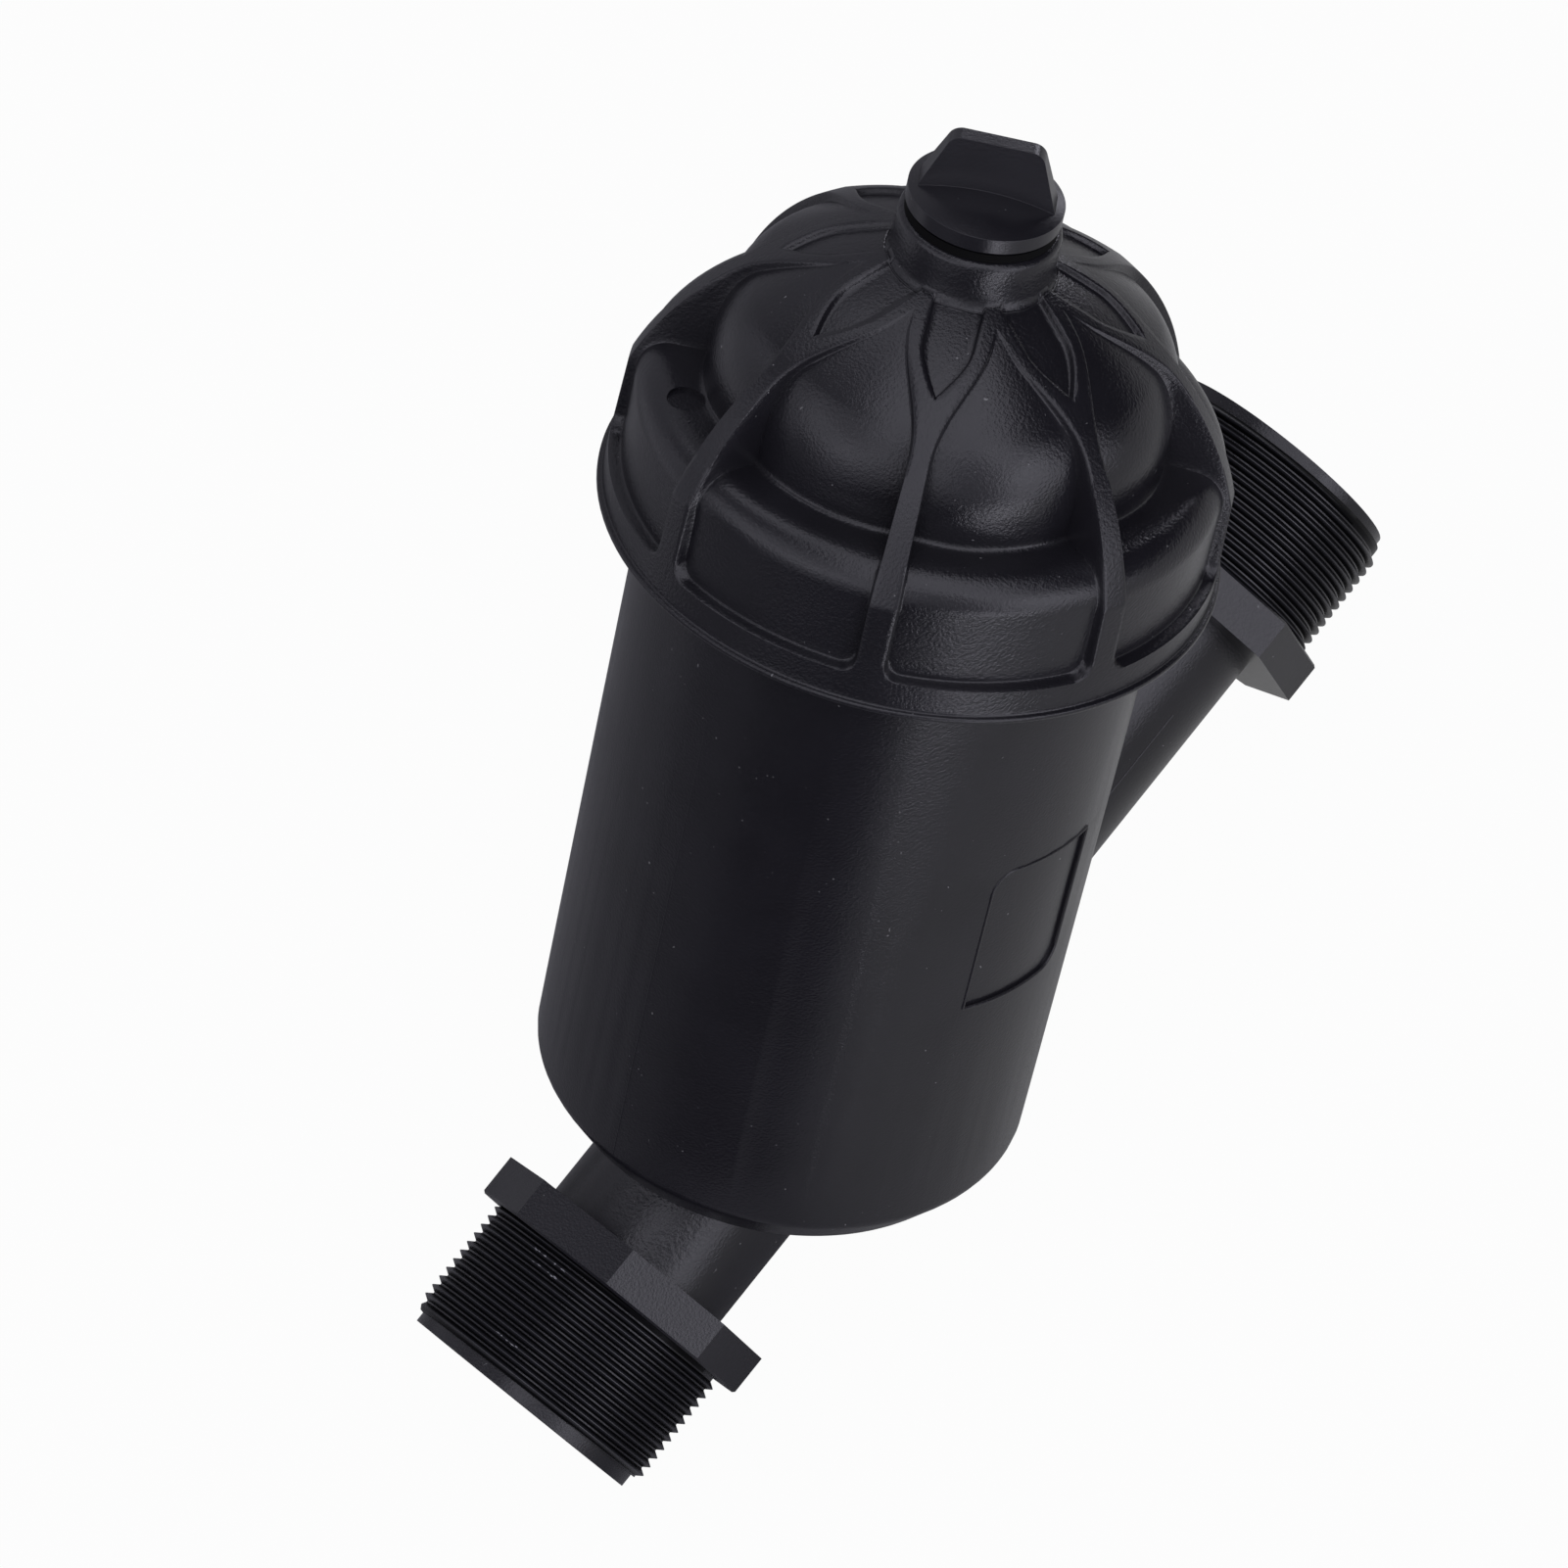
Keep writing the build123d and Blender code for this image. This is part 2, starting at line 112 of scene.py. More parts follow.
# Fine lines of the mould, in millimetres; the section is in shares of a line's width and height
RIDGE_SECTION = ((-0.5, -0.6), (-0.25, 0.8), (0.0, 1.0), (0.25, 0.8), (0.5, -0.6))
RIDGE_SHARP = 70.0
PARTING_FOOT = 9.0
PARTING_TOP = 151.0
PARTING_POINTS = 40
PARTING_WIDTH = 0.45
PARTING_HEIGHT = 0.07
PIPE_RADIUS = 22.2
PIPE_LINE_ANGLE = math.radians(163.0)
PIPE_LINE_START = 40.0
PIPE_LINE_END = 69.5
PIPE_LINE_POINTS = 20
PIPE_LINE_WIDTH = 0.4
PIPE_LINE_HEIGHT = 0.12
FLASH_SEED = 5
FLASH_WIDTH = 0.45
FLASH_HEIGHT = 0.22
FLASH_OUT = 0.35
FLASH_UP = 0.25
MARK_RADIUS = 3.8
MARK_PLACE = 51.0
MARK_DEPTH = 0.9
MARK_CLEAR = 3.0
MARK_POINTS = 40
MARK_SHARP = 30.0

# Screw lid, in millimetres above its shoulder
LID_SHOULDER = 182.9
LID_START_ANGLE = math.radians(-11.8)
LID_SHARP = 60.0
RIB_COUNT = 8
HALF_SECTOR = math.pi / RIB_COUNT
SKIRT_RADIUS = 59.05
SHOULDER_RADIUS = 6.5
CREST_RADIUS = 61.25
RIM_FOOT = -30.1
RIM_HEIGHT = 7.2
RIM_FLARE = 0.5
RIM_LIP = 1.0
RIM_LIP_HEIGHT = 1.2
LIP_ROUND = 0.35
LIP_CUT = 0.1
BAND_FILLET = ((0.25, 0.0), (0.05, 0.1), (0.0, 0.4))
RIB_LEAN = 0.4
RIB_SKIRT_HALF = 2.8
RIB_WAIST_HALF = 2.0
RIB_WAIST_RADIUS = 45.8
RIB_FORK_HALF = 8.0
RIB_FORK_RADIUS = 25.0
RIB_KNEE = (41.8, 22.3)
CROWN_END = (14.2, 36.1)
CROWN_CLEAR = 0.25
ARCH_BULGE = 2.3
CROWN_BULGE = 1.4
ARC_ROWS = 56
UPRIGHT_REACH = 6.0
UPRIGHT_WIDTH = 5.0
NORMAL_PASSES = 6
POCKET_CORNER = 3.5
POCKET_EDGE = (0.15, 0.6)
DOME_FOOT = (46.8, 7.0)
DOME_KNEE = (41.0, 21.5)
DOME_SLOPE = math.radians(29.0)
LOBE_OFFSET = 14.0
LOBE_ROOT = -20.0
LOBE_LOW = -6.0
LOBE_POINTS = 30
LOBE_HEIGHTS = 400
LOBE_SMOOTH_REACH = 12
LOBE_SMOOTH_WIDTH = 5.0
LOBE_BLEND = 1.0
RECESS_DEPTH = 1.2
RECESS_HALF = 4.9
RECESS_FULL_RADIUS = 26.0
RECESS_APEX_RADIUS = 35.8
RECESS_TAPER = 0.75
RECESS_EDGE = 0.3
NECK_RADIUS = 16.2
NECK_ROWS = ((0.08, 35.9), (0.0, 36.4), (0.0, 39.5))
NECK_TOP = 44.6
NECK_EDGE = 1.4
NECK_EDGE_POINTS = 5
NECK_BORE = 13.5
LID_BORE = 55.55
BORE_CHAMFER = 0.3
LID_CEILING = -3.1
COLLAR_OUTER = 48.0
COLLAR_INNER = 45.2
COLLAR_FOOT = -12.1
LID_WALL = 3.5
INNER_KNEE_SHARES = (0.75, 0.66)
INNER_BEND = (1.0, 6.0)

# Columns from a rib's middle to a lobe's middle: cells between the edges, and their least width
COLUMN_CELLS = (4, 4, 3, 5, 10, 6)
COLUMN_LEAST = 0.16
COLUMN_END_ROOM = 0.3
RIB_EDGE_IN = 0.2
RIB_EDGE_OUT = 0.45

# Search for the lid's surface under its ribs
DEPTH_PASSES = 60
DEPTH_SHARE = 0.9

# Finish of the plastics: cells per metre of each noise, and the stretch of its value that shows
BLOTCH_CELLS = 60.0
BLOTCH_RANGE = (0.35, 0.65)
BLOTCH_SHADE = 0.82
SPECK_CELLS = 1250.0
SPECK_RANGE = (0.83, 0.86)
DUSTY_CELLS = 140.0
DUSTY_RANGE = (0.56, 0.62)
SHEEN_CELLS = 35.0
SHEEN_RANGE = (0.3, 0.7)
SHEEN_SPREAD = 0.03
GRAIN_DETAIL = 2.0
GRAIN_ROUGHNESS = 0.6
HIDDEN_CELLS = 90.0
HIDDEN_SHADE = 0.85

# Rougher patch on the outlet pipe: its centre, inner and outer reach in millimetres, and its grain
SCUFF_PLACE = (-79.0 * MM, -9.0 * MM, 20.0 * MM)
SCUFF_REACH = (5.0, 13.0)
SCUFF_GAIN = 3.0
SCUFF_CELLS = 900.0

# Threads: painted shade, black up to a height over the root in millimetres, and a painted highlight, paler
# and glossier, at the crests
CREST_HIGHLIGHT_START = 0.55
ROOT_PAINTED_SHADE = (0.003, 0.003, 0.0035)
CREST_PAINTED_HIGHLIGHT = (0.022, 0.022, 0.026)
SHADE_TO_HIGHLIGHT_SPECULAR = (0.08, 0.7)
THREAD_SHEEN_CELLS = 400.0
THREAD_SHEEN = (0.26, 0.36)

# Camera fitted to the photograph: rows are the image's right, down and forward directions
CAMERA_ROWS = (
    (0.62568655, -0.72173386, -0.29600096),
    (-0.77529800, -0.53342039, -0.33819477),
    (0.08619368, 0.44109287, -0.89331278),
)
CAMERA_PLACE = Vector((-133.138, -688.720, 1481.217)) * MM
CAMERA_REACH = 20.0
FOCAL_PIXELS = 7938.98
IMAGE_PIXELS = 1601
SENSOR_WIDTH = 36.0

# Soft boxes round the part: name, turn and rise in degrees, width and height in metres, brightness
LIGHT_DISTANCE = 1.5
LIGHT_COLOUR = (0.965, 0.955, 1.08)
LIGHT_LEVEL = 1.17
LIT_HEIGHT = 110.0
SOFT_BOXES = (
    ("left_high", -132, 39, 4.28, 1.23, 0.37),
    ("left_middle", -132, 39, 1.35, 1.23, 0.38),
    ("right_top", 13.5, 62.5, 2.70, 1.32, 0.18),
    ("right_high", 18, 50, 1.50, 0.60, 0.73),
    ("back_wall", 84, 7, 4.28, 1.90, 0.27),
    ("back_left_wall", 132, 7, 2.41, 1.90, 0.11),
    ("side_top", 180, 62.5, 2.16, 1.32, 0.54),
    ("back_left_high", 144, 50, 2.35, 0.60, 0.35),
    ("front_right_top", -54, 62.5, 1.29, 1.32, 0.92),
    ("front_low", -96, -4, 2.42, 1.17, 0.30),
    ("front_strip", -84, 6, 1.20, 0.90, 0.92),
    ("front_middle", -72, 28, 1.20, 0.90, 0.60),
    ("front_left_edge", -120, -14, 0.80, 0.60, 3.2),
    ("right_edge", 24, -14, 0.80, 0.60, 2.6),
)

# Floor: half its width and its gap under the part in metres, how white the camera sees it, and how pale
# it is in reflections on the side that the card direction points to
WHITE = (1.0, 1.0, 1.0, 1.0)
FLOOR_GREY = (0.3, 0.3, 0.3, 1.0)
FLOOR_REACH = 0.7
FLOOR_GAP = 0.0002
FLOOR_TO_CAMERA = 0.97
FLOOR_IN_MIRROR = 0.28
CARD_DIRECTION = (0.6, -0.8, 0.0)
CARD_EDGE = (-0.02, 0.06)


def on_canister(x, y, z):
    """Point of the canister's own frame, in millimetres, as a point of the part's frame in metres."""
    local = CANISTER_UP * x + CANISTER_SIDE * y + CANISTER_AXIS * z
    return BRANCH_ORIGIN + local * MM


def link_object(name, data):
    """Object that holds some data, linked to the scene."""
    linked = bpy.data.objects.new(name, data)
    bpy.context.scene.collection.objects.link(linked)
    return linked


def mesh_object(name, vertices, faces):
    """Object with a mesh of given points and faces."""
    mesh = bpy.data.meshes.new(name)
    mesh.from_pydata(vertices, [], faces)
    mesh.update()
    return link_object(name, mesh)


def new_piece(name, vertices, faces, material, body):
    """Mesh object that rides on a CAD body."""
    piece = mesh_object(name, vertices, faces)
    piece.data.materials.append(material)
    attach(piece, body)
    return piece


def tube_faces(count, size, closed):
    """Faces of a tube of sections with the same number of points, joined up or shut at both ends."""
    faces = []
    for section in range(count if closed else count - 1):
        here = section * size
        there = (section + 1) % count * size
        for corner in range(size):
            beside = (corner + 1) % size
            faces.append((here + corner, here + beside, there + beside, there + corner))
    if not closed:
        faces.append(tuple(range(size)))
        faces.append(tuple(range((count - 1) * size, count * size)))
    return faces


def finish_mesh(piece, sharp_degrees):
    """Turn a piece's faces outward and shade it smooth up to an angle."""
    cleaned = bmesh.new()
    cleaned.from_mesh(piece.data)
    bmesh.ops.recalc_face_normals(cleaned, faces=cleaned.faces)
    limit = math.radians(sharp_degrees)
    for face in cleaned.faces:
        face.smooth = True
    for edge in cleaned.edges:
        if len(edge.link_faces) == 2:
            edge.smooth = edge.calc_face_angle(0.0) < limit
    cleaned.to_mesh(piece.data)
    cleaned.free()


class Nodes:
    """Short way to add and join the shader nodes of a material or a world."""

    def __init__(self, owner):
        owner.use_nodes = True
        self.tree = owner.node_tree
        self.tree.nodes.clear()

    def put(self, node, socket, value):
        """Link or set one input of a node."""
        if isinstance(value, bpy.types.NodeSocket):
            self.tree.links.new(value, node.inputs[socket])
        else:
            node.inputs[socket].default_value = value

    def add(self, kind, **inputs):
        """New node, with inputs given by name."""
        node = self.tree.nodes.new(kind)
        for key, value in inputs.items():
            self.put(node, key.replace("_", " "), value)
        return node

    def operate(self, kind, operation, values):
        """New node for an operation on some values."""
        node = self.tree.nodes.new(kind)
        node.operation = operation
        for index, value in enumerate(values):
            self.put(node, index, value)
        return node

    def number(self, operation, *values):
        """Result of an operation on numbers."""
        return self.operate("ShaderNodeMath", operation, values).outputs[0]

    def vector(self, operation, output, *values):
        """Named output of an operation on vectors."""
        return self.operate("ShaderNodeVectorMath", operation, values).outputs[output]


def new_material(name):
    """Material, its nodes, and the place of each point in its object."""
    material = bpy.data.materials.new(name)
    nodes = Nodes(material)
    return material, nodes, nodes.add("ShaderNodeTexCoord").outputs["Object"]


def noise(nodes, place, cells, detail=2.0, roughness=0.5):
    """Noise value at a place, with its cells per metre."""
    node = nodes.add("ShaderNodeTexNoise", Vector=place, Scale=cells, Detail=detail, Roughness=roughness)
    return node.outputs["Fac"]


def ramp(nodes, value, low, high, low_out=0.0, high_out=1.0):
    """Value mapped from one range to another and held at its ends."""
    node = nodes.add("ShaderNodeMapRange", Value=value, From_Min=low, From_Max=high,
                     To_Min=low_out, To_Max=high_out)
    node.clamp = True
    return node.outputs["Result"]


def mixed(nodes, factor, first, second):
    """Mix of two colours, each a shader socket or red, green and blue."""
    node = nodes.tree.nodes.new("ShaderNodeMix")
    node.data_type = "RGBA"
    factor_socket, first_socket, second_socket, colour_output = 0, 6, 7, 2
    nodes.put(node, factor_socket, factor)
    for socket, value in ((first_socket, first), (second_socket, second)):
        nodes.put(node, socket, (*value, 1.0) if isinstance(value, tuple) else value)
    return node.outputs[colour_output]


def shaded(colour, share):
    """Darker shade of a colour."""
    return tuple(share * part for part in colour)


def scuffed_grain(nodes, grain, place, centre):
    """Grain with a coarser rough patch round a centre."""
    distance = nodes.vector("DISTANCE", "Value", place, centre)
    inside = ramp(nodes, distance, SCUFF_REACH[0] * MM, SCUFF_REACH[1] * MM, SCUFF_GAIN, 0.0)
    coarse = noise(nodes, place, SCUFF_CELLS, GRAIN_DETAIL, GRAIN_ROUGHNESS)
    return nodes.number("MULTIPLY_ADD", coarse, inside, grain)


def moulded_plastic(name, colour, grain_height, grain_size, roughness, dust, specular=0.5, scuff=None):
    """Black moulded plastic with a spark eroded grain, faint blotches and specks of dust."""
    material, nodes, place = new_material(name)
    blotch = ramp(nodes, noise(nodes, place, BLOTCH_CELLS, detail=3.0), *BLOTCH_RANGE)
    speck = ramp(nodes, noise(nodes, place, SPECK_CELLS, detail=0.0), *SPECK_RANGE)
    dusty = ramp(nodes, noise(nodes, place, DUSTY_CELLS, detail=1.0), *DUSTY_RANGE)
    plastic = mixed(nodes, blotch, shaded(colour, BLOTCH_SHADE), colour)
    dusted = mixed(nodes, nodes.number("MULTIPLY", speck, dusty), plastic, (dust, dust, dust))
    sheen = noise(nodes, place, SHEEN_CELLS)
    grain = noise(nodes, place, 1.0 / (grain_size * MM), GRAIN_DETAIL, GRAIN_ROUGHNESS)
    if scuff:
        grain = scuffed_grain(nodes, grain, place, scuff)
    bump = nodes.add("ShaderNodeBump", Height=grain, Strength=1.0, Distance=grain_height * MM)
    shader = nodes.add(
        "ShaderNodeBsdfPrincipled",
        Base_Color=dusted,
        Roughness=ramp(nodes, sheen, *SHEEN_RANGE, roughness - SHEEN_SPREAD, roughness + SHEEN_SPREAD),
        Specular_IOR_Level=specular,
        Normal=bump.outputs["Normal"],
    )
    nodes.add("ShaderNodeOutputMaterial", Surface=shader.outputs["BSDF"])
    return material


def shaded_and_highlighted_thread(name):
    """Plastic of the end threads: painted shade, black, in the roots and a painted highlight, paler, on the
    crests.
    """
    material, nodes, place = new_material(name)
    across = nodes.vector("MULTIPLY", "Vector", place, (0.0, 1.0, 1.0))
    radius = nodes.vector("LENGTH", "Value", across)
    # Share of painted highlight over the thread's height: none in the painted shade of the roots, full at
    # the crests
    crest_highlight = ramp(nodes, radius, (THREAD_ROOT + CREST_HIGHLIGHT_START) * MM, THREAD_CREST * MM)
    sheen = noise(nodes, place, THREAD_SHEEN_CELLS)
    shader = nodes.add(
        "ShaderNodeBsdfPrincipled",
        Base_Color=mixed(nodes, crest_highlight, ROOT_PAINTED_SHADE, CREST_PAINTED_HIGHLIGHT),
        Specular_IOR_Level=ramp(nodes, crest_highlight, 0.0, 1.0, *SHADE_TO_HIGHLIGHT_SPECULAR),
        Roughness=ramp(nodes, sheen, *SHEEN_RANGE, *THREAD_SHEEN),
    )
    nodes.add("ShaderNodeOutputMaterial", Surface=shader.outputs["BSDF"])
    return material


def plain_material(name, colour, roughness, metallic=0.0, specular=0.5):
    """Plain finish with a faint unevenness."""
    material, nodes, place = new_material(name)
    uneven = noise(nodes, place, HIDDEN_CELLS)
    shader = nodes.add(
        "ShaderNodeBsdfPrincipled",
        Base_Color=mixed(nodes, uneven, shaded(colour, HIDDEN_SHADE), colour),
        Roughness=roughness,
        Metallic=metallic,
        Specular_IOR_Level=specular,
    )
    nodes.add("ShaderNodeOutputMaterial", Surface=shader.outputs["BSDF"])
    return material


BLACK = (0.0125, 0.0120, 0.0150)
PLUG_BLACK = (0.0135, 0.0130, 0.0162)
housing_plastic = moulded_plastic("housing_plastic", BLACK, grain_height=0.070, grain_size=0.54,
                                  roughness=0.22, dust=0.16, scuff=SCUFF_PLACE)
lid_plastic = moulded_plastic("lid_plastic", BLACK, grain_height=0.115, grain_size=0.64,
                              roughness=0.22, dust=0.16)
plug_plastic = moulded_plastic("plug_plastic", PLUG_BLACK, grain_height=0.03, grain_size=0.55,
                               roughness=0.26, dust=0.12, specular=0.53)
thread_plastic = shaded_and_highlighted_thread("thread_plastic")
cartridge_plastic = plain_material("cartridge_plastic", (0.02, 0.02, 0.022), roughness=0.4)
disc_plastic = plain_material("disc_plastic", (0.42, 0.03, 0.025), roughness=0.42)
# Seal rubber: black, and darker than the plastic as painted shade in the gap under the plug's flange
seal_rubber = plain_material("seal_rubber", (0.003, 0.003, 0.003), roughness=0.8, specular=0.1)
nick_white = plain_material("nick_white", (0.34, 0.34, 0.36), roughness=0.5)
washer_steel = plain_material("washer_steel", (0.6, 0.6, 0.6), roughness=0.3, metallic=1.0)

# Finish of each node that is neither a disc nor one of the cartridge's black pieces
FINISHES = {
    "filter_housing": housing_plastic,
    "filter_lid": lid_plastic,
    "vent_plug": plug_plastic,
    "lid_seal": seal_rubber,
    "plug_gasket": seal_rubber,
    "base_seal": seal_rubber,
    "stud_gasket": seal_rubber,
    "nut_washer": washer_steel,
}


def dress_nodes():
    """Give every CAD node its material."""
    for name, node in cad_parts.items():
        material = disc_plastic if "disc" in name else FINISHES.get(name, cartridge_plastic)
        node.data.materials.clear()
        node.data.materials.append(material)


def eased_copy(node, name, body, width, change=None):
    """Copy of a CAD node with its sharp edges eased, which stands for the node."""
    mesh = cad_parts[node].data.copy()
    piece = link_object(name, mesh)
    if change:
        for vertex in mesh.vertices:
            change(vertex)
    if "custom_normal" in mesh.attributes:
        mesh.attributes.remove(mesh.attributes["custom_normal"])
    joined = bmesh.new()
    joined.from_mesh(mesh)
    bmesh.ops.remove_doubles(joined, verts=joined.verts, dist=JOIN_DISTANCE)
    flat = math.radians(FLAT_ANGLE)
    bmesh.ops.dissolve_limit(joined, angle_limit=flat, verts=joined.verts, edges=joined.edges)
    joined.to_mesh(mesh)
    joined.free()
    finish_mesh(piece, EASED_ANGLE)
    bevel = piece.modifiers.new("eased_edges", "BEVEL")
    bevel.width = width * MM
    bevel.segments = EASED_SEGMENTS
    bevel.limit_method = "ANGLE"
    bevel.angle_limit = math.radians(EASED_ANGLE)
    bevel.use_clamp_overlap = True
    bevel.harden_normals = True
    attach(piece, body)
    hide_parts(node)


def to_thread_root(vertex):
    """Move a vertex of a plain thread blank down to the thread's root."""
    place = vertex.co / MM
    radius = math.hypot(place.y, place.z)
    on_blank = BLANK_START - BLANK_MARGIN < abs(place.x) < BLANK_END + BLANK_MARGIN
    if on_blank and abs(radius - THREAD_CREST) < BLANK_MARGIN:
        vertex.co.y *= THREAD_ROOT / radius
        vertex.co.z *= THREAD_ROOT / radius


def thread_helix(name, side):
    """One end's thread: a closed ridge that winds round the pipe and fades at both ends."""
    section = THREAD_FLANK + tuple((-across, height) for across, height in reversed(THREAD_FLANK))
    depth = THREAD_CREST - THREAD_ROOT
    count = int(THREAD_TURNS * THREAD_STEPS) + 1
    vertices = []
    for step in range(count):
        turn = step / THREAD_STEPS
        angle = 2 * math.pi * turn
        fade = min(1.0, turn / THREAD_FADE_TURNS, (THREAD_TURNS - turn) / THREAD_FADE_TURNS)
        fade = max(THREAD_LEAST_HEIGHT, fade * fade * (3 - 2 * fade))
        for across, height in section:
            along = THREAD_FIRST_CREST + THREAD_PITCH * (turn + across * THREAD_FOOT_SHARE)
            radius = THREAD_ROOT + depth * height * (fade if height > 0 else 1.0)
            vertices.append((side * along * MM, side * radius * math.cos(angle) * MM,
                             radius * math.sin(angle) * MM))
    faces = tube_faces(count, len(section), closed=False)
    piece = new_piece(name, vertices, faces, thread_plastic, "housing")
    finish_mesh(piece, THREAD_SHARP)


def thread_nicks():
    """Pale slivers where the outlet thread's crests were knocked, in clusters on single turns."""
    chance = np.random.default_rng(NICK_SEED)
    vertices, faces = [], []
    for turn, middle, spread, count in NICK_PLACES:
        for _ in range(count):
            angle = math.radians(180.0 - middle + spread * chance.uniform(-1, 1))
            along = THREAD_FIRST_CREST + THREAD_PITCH * (turn + angle / (2 * math.pi))
            along += chance.uniform(-NICK_SCATTER, NICK_SCATTER)
            reach = chance.uniform(*NICK_REACH) / THREAD_CREST
            half = chance.uniform(*NICK_HALF_WIDTH)
            start = len(vertices)
            corners = ((-reach, 0, 0), (0, half, 0), (reach, 0, 0), (0, -half, 0), (0, 0, NICK_LIFT))
            for swing, across, lift in corners:
                radius = THREAD_CREST - NICK_SUNK + lift
                vertices.append((-(along + across) * MM, -radius * math.cos(angle + swing) * MM,
                                 radius * math.sin(angle + swing) * MM))
            faces.append((start, start + 1, start + 2, start + 3))
            faces += [(start + k, start + (k + 1) % 4, start + 4) for k in range(4)]
    new_piece("thread_nicks", vertices, faces, nick_white, "housing")


def low_ridge(name, points, outward, width, height, closed=False, material=housing_plastic,
              body="housing"):
    """Fine raised line of the mould along a row of points, with the outward direction at each."""
    count = len(points)
    vertices = []
    for index, (point, up) in enumerate(zip(points, outward)):
        before = points[index - 1] if closed or index else point
        after = points[(index + 1) % count] if closed or index + 1 < count else point
        side = (after - before).normalized().cross(up).normalized()
        for across, rise in RIDGE_SECTION:
            vertices.append(point + side * (across * width * MM) + up * (rise * height * MM))
    faces = tube_faces(count, len(RIDGE_SECTION), closed)
    piece = new_piece(name, vertices, faces, material, body)
    finish_mesh(piece, RIDGE_SHARP)


def on_canister_wall(azimuth, height):
    """Point on the canister's outer wall and the outward direction there."""
    share = (height - TAPER_TOP) / (MOUTH - TAPER_TOP)
    radius = FOOT_RADIUS + (CANISTER_RADIUS - FOOT_RADIUS) * share
    place = on_canister(radius * math.cos(azimuth), radius * math.sin(azimuth), height)
    outward = CANISTER_UP * math.cos(azimuth) + CANISTER_SIDE * math.sin(azimuth)
    return place, outward


def parting_line():
    """Parting line of the mould down the canister."""
    heights = np.linspace(PARTING_FOOT, PARTING_TOP, PARTING_POINTS)
    points, outward = zip(*(on_canister_wall(0.0, height) for height in heights))
    low_ridge("parting_line", points, outward, PARTING_WIDTH, PARTING_HEIGHT)


def pipe_line():
    """Fine line along the inlet pipe."""
    outward = Vector((0.0, math.cos(PIPE_LINE_ANGLE), math.sin(PIPE_LINE_ANGLE)))
    places = np.linspace(PIPE_LINE_START, PIPE_LINE_END, PIPE_LINE_POINTS)
    points = [Vector((x * MM, 0, 0)) + outward * (PIPE_RADIUS * MM) for x in places]
    low_ridge("pipe_line", points, [outward] * len(points), PIPE_LINE_WIDTH, PIPE_LINE_HEIGHT)


def panel_outline():
    """Outline of the panel's rim in its own plane, with two round and two tight corners."""
    half_width = PANEL_WIDTH / 2 + PANEL_RIM_OFFSET
    half_height = PANEL_HEIGHT / 2 + PANEL_RIM_OFFSET
    corners = ((1, 1, 0, PANEL_TIGHT_CORNER), (-1, 1, 90, PANEL_CORNER),
               (-1, -1, 180, PANEL_TIGHT_CORNER), (1, -1, 270, PANEL_CORNER))
    outline = []
    for across, along, start, bend in corners:
        for angle in np.radians(np.linspace(start, start + 90, PANEL_CORNER_POINTS)):
            outline.append((across * (half_width - bend) + bend * math.cos(angle),
                            along * (half_height - bend) + bend * math.sin(angle)))
    return outline


def panel_rim():
    """Raised rim round the bare panel, bent to the canister's wall."""
    outline = panel_outline()
    dense = []
    for (x0, y0), (x1, y1) in zip(outline, outline[1:] + outline[:1]):
        cuts = max(1, int(math.hypot(x1 - x0, y1 - y0) / PANEL_STEP))
        dense += [(x0 + (x1 - x0) * k / cuts, y0 + (y1 - y0) * k / cuts) for k in range(cuts)]
    points, outward = [], []
    for x, y in dense:
        place, away = on_canister_wall(PANEL_AZIMUTH + math.asin(x / CANISTER_RADIUS), PANEL_CENTRE + y)
        points.append(place)
        outward.append(away)
    low_ridge("panel_rim", points, outward, PANEL_RIM, PANEL_RIM_HEIGHT, closed=True)


def smooth_step(value):
    """Smooth change from 0 to 1 as a value goes from 0 to 1."""
    held = np.clip(value, 0.0, 1.0)
    return held * held * (3 - 2 * held)


def arc_line(start, end, bulge, count):
    """Points along an arc that stands out by its bulge on the outer side of a line that climbs inward."""
    start, end = np.array(start), np.array(end)
    chord = end - start
    length = np.hypot(*chord)
    across = np.array((chord[1], -chord[0])) / length
    half_angle = 2 * math.atan2(2 * bulge, length)
    radius = length / 2 / math.sin(half_angle)
    middle = (start + end) / 2 - across * (radius - bulge)
    turns = np.linspace(-half_angle, half_angle, count)
    along = chord / length
    return [tuple(middle + radius * (across * math.cos(t) + along * math.sin(t))) for t in turns]


def crest_line():
    """Line of the rib crests as (radius, height) rows, from the rim's foot to the neck."""
    band = CREST_RADIUS + RIM_FLARE
    lip = band + RIM_LIP
    lip_top = RIM_FOOT + RIM_LIP_HEIGHT
    pocket_foot = RIM_FOOT + RIM_HEIGHT
    corner_top = pocket_foot + POCKET_CORNER
    arch_start = (CREST_RADIUS - RIB_LEAN, -SHOULDER_RADIUS)
    rows = [(lip - LIP_ROUND, RIM_FOOT), (lip - LIP_CUT, RIM_FOOT + LIP_CUT), (lip, RIM_FOOT + LIP_ROUND),
            (lip, lip_top - LIP_ROUND), (lip - LIP_CUT, lip_top - LIP_CUT), (lip - LIP_ROUND, lip_top)]
    rows += [(band + out, lip_top + up) for out, up in BAND_FILLET]
    # First and last height and number of rows: band, pocket's edge, its round corners, and skirt
    stretches = (
        (lip_top + 1.2, pocket_foot - 0.7, 4),
        (pocket_foot - 0.25, pocket_foot + 0.5, 8),
        (pocket_foot + 0.75, corner_top, 10),
        (corner_top + 1.0, arch_start[1] - 0.6, 11),
    )
    for first, last, count in stretches:
        for height in np.linspace(first, last, count):
            share = (height - lip_top) / (arch_start[1] - lip_top)
            rows.append((band + share * (arch_start[0] - band), height))
    rows += arc_line(arch_start, RIB_KNEE, ARCH_BULGE, ARC_ROWS)[:-1]
    crown = arc_line(RIB_KNEE, CROWN_END, CROWN_BULGE, ARC_ROWS)
    rows += [point for point in crown if point[0] > NECK_RADIUS + CROWN_CLEAR]
    return np.array(rows)


